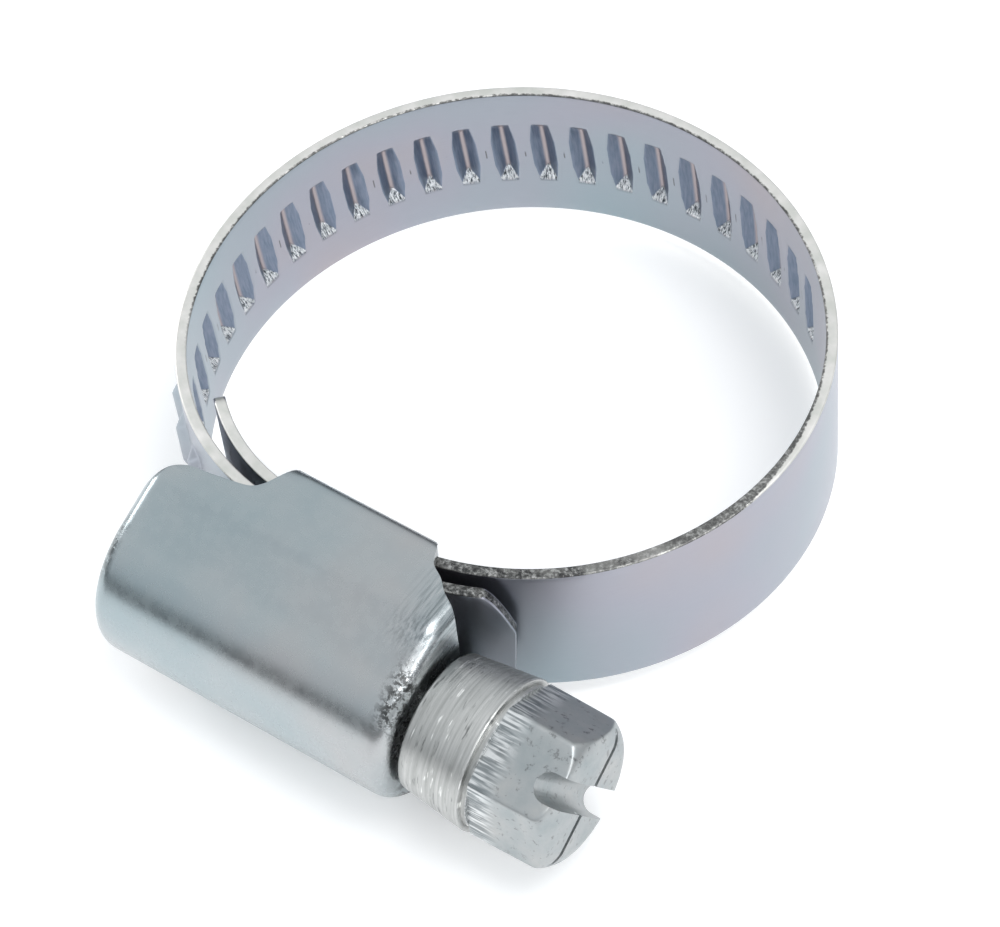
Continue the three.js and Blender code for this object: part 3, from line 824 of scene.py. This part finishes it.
def housing_loop(count=320):
    """Places (y, z) and outward normals round the housing's sheet, across the screw."""
    corner = SADDLE_CORNER
    shoulder_y = SADDLE_Y - SHOULDER
    reach = math.hypot(shoulder_y - BARREL_Y, HALF_WIDTH)
    touch = math.atan2(HALF_WIDTH, shoulder_y - BARREL_Y) + math.acos(BARREL_RADIUS / reach)
    half = [(SADDLE_Y, 0.0), (SADDLE_Y, HALF_WIDTH - corner)]
    for angle in np.linspace(0, math.pi / 2, 9)[1:]:
        half.append((
            SADDLE_Y - corner + corner * math.cos(angle),
            HALF_WIDTH - corner + corner * math.sin(angle),
        ))
    half.append((shoulder_y, HALF_WIDTH))
    for angle in np.linspace(touch, math.pi, 40):
        half.append((BARREL_Y + BARREL_RADIUS * math.cos(angle), BARREL_RADIUS * math.sin(angle)))
    loop = np.array(half + [(y, -z) for y, z in half[-2:0:-1]])
    closed = np.vstack([loop, loop[:1]])
    along = np.r_[0, np.cumsum(np.hypot(*np.diff(closed, axis=0).T))]
    even = np.linspace(0, along[-1], count, endpoint=False)
    points = np.stack([np.interp(even, along, closed[:, k]) for k in (0, 1)], axis=1)
    # Rounds the sheet's bends a little more than their true arcs, as pressed sheet is.
    reach = np.arange(-12, 13)
    weights = np.exp(-0.5 * (reach * along[-1] / count / 0.30) ** 2)
    weights /= weights.sum()
    points = sum(w * np.roll(points, -k, axis=0) for k, w in zip(reach, weights))
    tangent = np.roll(points, -1, axis=0) - np.roll(points, 1, axis=0)
    tangent /= np.linalg.norm(tangent, axis=1)[:, None]
    normal = np.stack([tangent[:, 1], -tangent[:, 0]], axis=1)
    centre = np.array([BARREL_Y, 0.0])
    if np.mean(np.sum(normal * (points - centre), axis=1)) < 0:
        normal = -normal
    return points, normal


def housing_shell():
    """The housing as a closed shell of sheet, with drawn-in ends and a round hole in each."""
    points, normal = housing_loop()
    hole = JOURNAL_RADIUS + BUSH_CLEARANCE
    centre = np.array([SCREW_Y, 0.0])
    away = points - centre
    rim = centre + hole * away / np.linalg.norm(away, axis=1)[:, None]

    def row(x, inset):
        place = points - normal * inset
        return np.column_stack([np.full(len(place), x), place])

    def wall_row(x, inset, share):
        place = (points - normal * inset) * (1 - share) + rim * share
        return np.column_stack([np.full(len(place), x), place])

    def end_rows(end, side, depth):
        """From the hole out to the barrel, for one face of the sheet at one end."""
        face = end - side * depth
        curl = END_CURL - depth
        rows = [wall_row(face, END_CURL, share) for share in (1.0, 0.8, 0.5, 0.2)]
        for angle in np.linspace(math.pi / 2, 0, 8):
            x = end - side * END_CURL + side * curl * math.sin(angle)
            rows.append(row(x, END_CURL - curl * math.cos(angle)))
        return rows

    straight = np.linspace(BARREL_RIGHT - END_CURL, -BARREL_LEFT + END_CURL, 14)[1:-1]
    rows = end_rows(BARREL_RIGHT, 1, 0)
    rows += [row(x, 0) for x in straight]
    rows += end_rows(-BARREL_LEFT, -1, 0)[::-1]
    rows += end_rows(-BARREL_LEFT, -1, SHEET)
    rows += [row(x, SHEET) for x in straight[::-1]]
    rows += end_rows(BARREL_RIGHT, 1, SHEET)[::-1]
    grid = np.array(rows)
    faces = grid_faces(len(rows), len(points), closed_rows=True, closed_columns=True)
    return grid.reshape(-1, 3), faces


def smooth_line(points, steps=10):
    """A rounded line through points."""
    points = np.array(points, float)
    padded = np.vstack([2 * points[0] - points[1], points, 2 * points[-1] - points[-2]])
    line = []
    for a, b, c, d in zip(padded, padded[1:], padded[2:], padded[3:]):
        for t in np.linspace(0, 1, steps, endpoint=False):
            line.append(0.5 * (2 * b + (c - a) * t + (2 * a - 5 * b + 4 * c - d) * t**2
                               + (3 * b - a - 3 * c + d) * t**3))
    line.append(points[-1])
    return line


def outline_points():
    """The walls' outline seen along the hose axis, as a closed line of (x, y)."""
    lobe = SADDLE_Y - LOBE_DROP
    left = [
        (-SADDLE_LEFT - 0.05, SADDLE_Y - 0.25), (-SADDLE_LEFT - 0.45, SADDLE_Y - 1.1),
        (-SADDLE_LEFT - 0.85, SADDLE_Y - 1.9), (-SADDLE_LEFT - 1.4, SADDLE_Y - 2.38),
        (-SADDLE_LEFT - 2.5, SADDLE_Y - 2.62), (-BARREL_LEFT + 2.5, lobe + 0.1),
        (-BARREL_LEFT + 1.6, lobe - 0.02), (-BARREL_LEFT + 0.85, lobe - 0.45),
        (-BARREL_LEFT + 0.40, lobe - 1.15), (-BARREL_LEFT + 0.05, lobe - 2.2),
        (-BARREL_LEFT - 0.2, lobe - 3.2),
    ]
    right = [
        (BARREL_RIGHT + 0.4, lobe - 0.9), (BARREL_RIGHT - 0.3, lobe - 0.15),
        (SADDLE_RIGHT + 2.2, lobe + 0.35), (SADDLE_RIGHT + 1.55, SADDLE_Y - 1.95),
        (SADDLE_RIGHT + 0.85, SADDLE_Y - 1.5), (SADDLE_RIGHT + 0.55, SADDLE_Y - 1.0),
        (SADDLE_RIGHT + 0.35, SADDLE_Y - 0.55), (SADDLE_RIGHT - 0.05, SADDLE_Y - 0.12),
    ]
    deep = SCREW_Y - 2 * BARREL_RADIUS
    line = [(-SADDLE_LEFT, SADDLE_Y + 1)] + [tuple(p) for p in smooth_line(left)]
    line += [(-BARREL_LEFT - 1, lobe - 3.6), (-BARREL_LEFT - 1, deep), (BARREL_RIGHT + 1, deep)]
    line += [(BARREL_RIGHT + 1, lobe - 1)] + [tuple(p) for p in smooth_line(right)]
    return line + [(SADDLE_RIGHT - 0.1, SADDLE_Y + 1)]


def prism(name, outline, low, high):
    """A block with an outline in (x, y) between two heights, in millimetres."""
    count = len(outline)
    points = [(x, y, low) for x, y in outline] + [(x, y, high) for x, y in outline]
    faces = [tuple(reversed(range(count))), tuple(range(count, 2 * count))]
    for i in range(count):
        j = (i + 1) % count
        faces.append((i, j, count + j, count + i))
    return mesh_object(name, points, faces, smooth=False)


def fix_normals(piece):
    mesh = bmesh.new()
    mesh.from_mesh(piece.data)
    bmesh.ops.recalc_face_normals(mesh, faces=mesh.faces)
    mesh.to_mesh(piece.data)
    mesh.free()


def boolean(piece, cutter, operation):
    fix_normals(piece)
    fix_normals(cutter)
    change = piece.modifiers.new("cut", "BOOLEAN")
    change.operation = operation
    change.solver = "EXACT"
    change.object = cutter
    apply_modifiers(piece)
    bpy.data.objects.remove(cutter)


def bevel(piece, width, angle, segments=2):
    change = piece.modifiers.new("edges", "BEVEL")
    change.width = width * MM
    change.segments = segments
    change.limit_method = "ANGLE"
    change.angle_limit = math.radians(angle)
    change.use_clamp_overlap = True
    apply_modifiers(piece)


def apply_modifiers(piece):
    view = bpy.context.evaluated_depsgraph_get()
    view.update()
    mesh = bpy.data.meshes.new_from_object(piece.evaluated_get(view))
    piece.modifiers.clear()
    piece.data = mesh


def soften(piece, angle=38):
    piece.data.polygons.foreach_set("use_smooth", [True] * len(piece.data.polygons))
    piece.data.set_sharp_from_angle(angle=math.radians(angle))


def make_housing(material):
    points, faces = housing_shell()
    piece = mesh_object("housing_sheet", points, faces)
    boolean(piece, prism("outline", outline_points(), -9, 9), "INTERSECT")
    window = [
        (WINDOW_LEFT, SADDLE_Y - 2 * SHEET), (WINDOW_LEFT + 3, SADDLE_Y - 2 * SHEET),
        (WINDOW_LEFT + 3, SADDLE_Y + 2 * SHEET), (WINDOW_LEFT, SADDLE_Y + 2 * SHEET),
    ]
    reach = BAND_WIDTH / 2 + WINDOW_CLEARANCE
    boolean(piece, prism("window", window, -reach, reach), "DIFFERENCE")
    bevel(piece, 0.1, 50)
    soften(piece)
    piece.data.materials.append(material)
    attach(piece, "root")
    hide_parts("housing")


# ---------------------------------------------------------------------------
# Screw
# ---------------------------------------------------------------------------

def screw_profile(x):
    """The radius of the turned parts of the screw at places along it."""
    collar_end = COLLAR_X + COLLAR_LENGTH
    rings = np.random.default_rng(5).normal(0, 0.004, 400)
    ring = np.interp(x, np.linspace(COLLAR_X, collar_end, 400), rings)
    share = (x - COLLAR_X) / COLLAR_LENGTH
    collar = COLLAR_RADIUS - COLLAR_TAPER * (1 - share) + ring
    edge = np.minimum(x - COLLAR_X, collar_end - x)
    edge = np.clip(edge, 0, COLLAR_ROUND)
    collar = collar - (COLLAR_ROUND - np.sqrt(np.maximum(COLLAR_ROUND**2 - (COLLAR_ROUND - edge) ** 2, 0)))
    radius = np.full(x.shape, JOURNAL_RADIUS)
    radius = np.where((x > WORK_LEFT) & (x < WORK_RIGHT), WORM_ROOT, radius)
    radius = np.where((x >= COLLAR_X) & (x <= collar_end), collar, radius)
    radius = np.where((x > collar_end) & (x < HEX_X), COLLAR_RADIUS - COLLAR_STEP, radius)
    chamfer = JOURNAL_RADIUS - JOURNAL_CHAMFER + (x + BARREL_LEFT)
    return np.where(x < -BARREL_LEFT + JOURNAL_CHAMFER, chamfer, radius)


def worm_ridge(x, angle):
    """Height of the worm's thread above its core."""
    start, end = WORK_LEFT + 0.3, WORK_RIGHT - 0.3
    phase = (x / PITCH - 0.5 - angle / (2 * math.pi)) % 1.0
    off = np.minimum(phase, 1 - phase) * PITCH
    height = WORM_RADIUS - WORM_ROOT
    ridge = np.clip(height - np.maximum(off - WORM_CREST / 2, 0) / WORM_FLANK_SLOPE, 0, height)
    fade = np.clip((x - start) / 0.4, 0, 1) * np.clip((end - x) / 0.4, 0, 1)
    return ridge * fade


def head_radius(x, angle):
    """The hexagon, rounded over at its end."""
    sector = math.pi / 3
    turned = (angle - HEX_TURN + sector / 2) % sector - sector / 2
    # The head was cold formed, so it narrows slightly toward its end.
    across = HEX_ACROSS - HEX_TAPER * (x - HEX_X)
    flat = across / 2 / np.cos(turned)
    corner = HEX_ACROSS / math.sqrt(3)
    flat = soft_least(flat, np.full_like(flat, corner * 0.985), 0.10)
    share = np.clip((x - (HEAD_END - HEX_DOME)) / HEX_DOME, 0, 1)
    dome = HEX_END_RADIUS + (corner + 0.1 - HEX_END_RADIUS) * np.sqrt(np.maximum(1 - share**2, 0))
    return soft_least(flat, dome, 0.05)


def screw_grid(count=216):
    """Rows of points round the screw, from its left end to the end of its head."""
    collar_end = COLLAR_X + COLLAR_LENGTH
    tiny = 0.004
    x = np.concatenate([
        [-BARREL_LEFT], np.linspace(-BARREL_LEFT + JOURNAL_CHAMFER, WORK_LEFT - tiny, 4),
        np.arange(WORK_LEFT, WORK_RIGHT, 0.105), [WORK_RIGHT - tiny, WORK_RIGHT + tiny],
        [COLLAR_X - tiny], np.linspace(COLLAR_X, collar_end, 90), [collar_end + tiny, HEX_X - tiny],
        np.linspace(HEX_X, HEAD_END - HEX_DOME - 0.5, 14)[:-1],
        HEAD_END - HEX_DOME - 0.5 + (HEX_DOME + 0.5) * np.sin(np.linspace(0, math.pi / 2, 34)),
    ])
    angle = np.linspace(0, 2 * math.pi, count, endpoint=False)
    along, around = np.meshgrid(x, angle, indexing="ij")
    radius = screw_profile(along)
    inside = (along > WORK_LEFT) & (along < WORK_RIGHT)
    radius = radius + np.where(inside, worm_ridge(along, around), 0)
    radius = np.where(along >= HEX_X, head_radius(along, around), radius)
    points = np.stack([
        along,
        SCREW_Y + radius * np.cos(around),
        radius * np.sin(around),
    ], axis=-1)
    return points


def make_screw(material):
    points = screw_grid()
    columns, rows = points.shape[:2]
    faces = grid_faces(columns, rows, closed_rows=True)
    flat_points = points.reshape(-1, 3)
    ends = np.array([(points[0, 0, 0], SCREW_Y, 0), (points[-1, 0, 0], SCREW_Y, 0)])
    left, right = len(flat_points), len(flat_points) + 1
    last = (columns - 1) * rows
    for j in range(rows):
        after = (j + 1) % rows
        faces.append((left, j, after))
        faces.append((right, last + after, last + j))
    piece = mesh_object("screw_turned", np.vstack([flat_points, ends]), faces)
    for width, depth, turn in (
        (SLOT_WIDTH, SLOT_DEPTH, HEX_TURN + SLOT_TURN),
        (CROSS_WIDTH, CROSS_DEPTH, HEX_TURN + SLOT_TURN + math.pi / 2),
    ):
        boolean(piece, slot_cutter(width, depth, turn), "DIFFERENCE")
    bevel(piece, 0.05, 55, 1)
    soften(piece, 34)
    piece.data.materials.append(material)
    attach(piece, "screw")
    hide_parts("screw")


def slot_cutter(width, depth, turn):
    """A bar with a round bottom, across the end of the head."""
    half = width / 2
    section = [(HEAD_END + 1, -half), (HEAD_END + 1, half), (HEAD_END - depth + half, half)]
    for angle in np.linspace(math.pi / 2, 1.5 * math.pi, 14)[1:]:
        section.append((
            HEAD_END - depth + half + half * math.cos(angle),
            half * math.sin(angle),
        ))
    cutter = prism("slot", section, -HEX_ACROSS, HEX_ACROSS)
    cutter.data.transform(Matrix.Rotation(turn, 4, "X"))
    cutter.data.transform(Matrix.Translation((0, SCREW_Y * MM, 0)))
    return cutter


# ---------------------------------------------------------------------------
# The scene
# ---------------------------------------------------------------------------

make_camera()
make_floor(floor_material())
make_light()
make_band([zinc_band_material(), cut_edge_material()])
make_housing(zinc_housing_material())
make_screw(turned_screw_material())
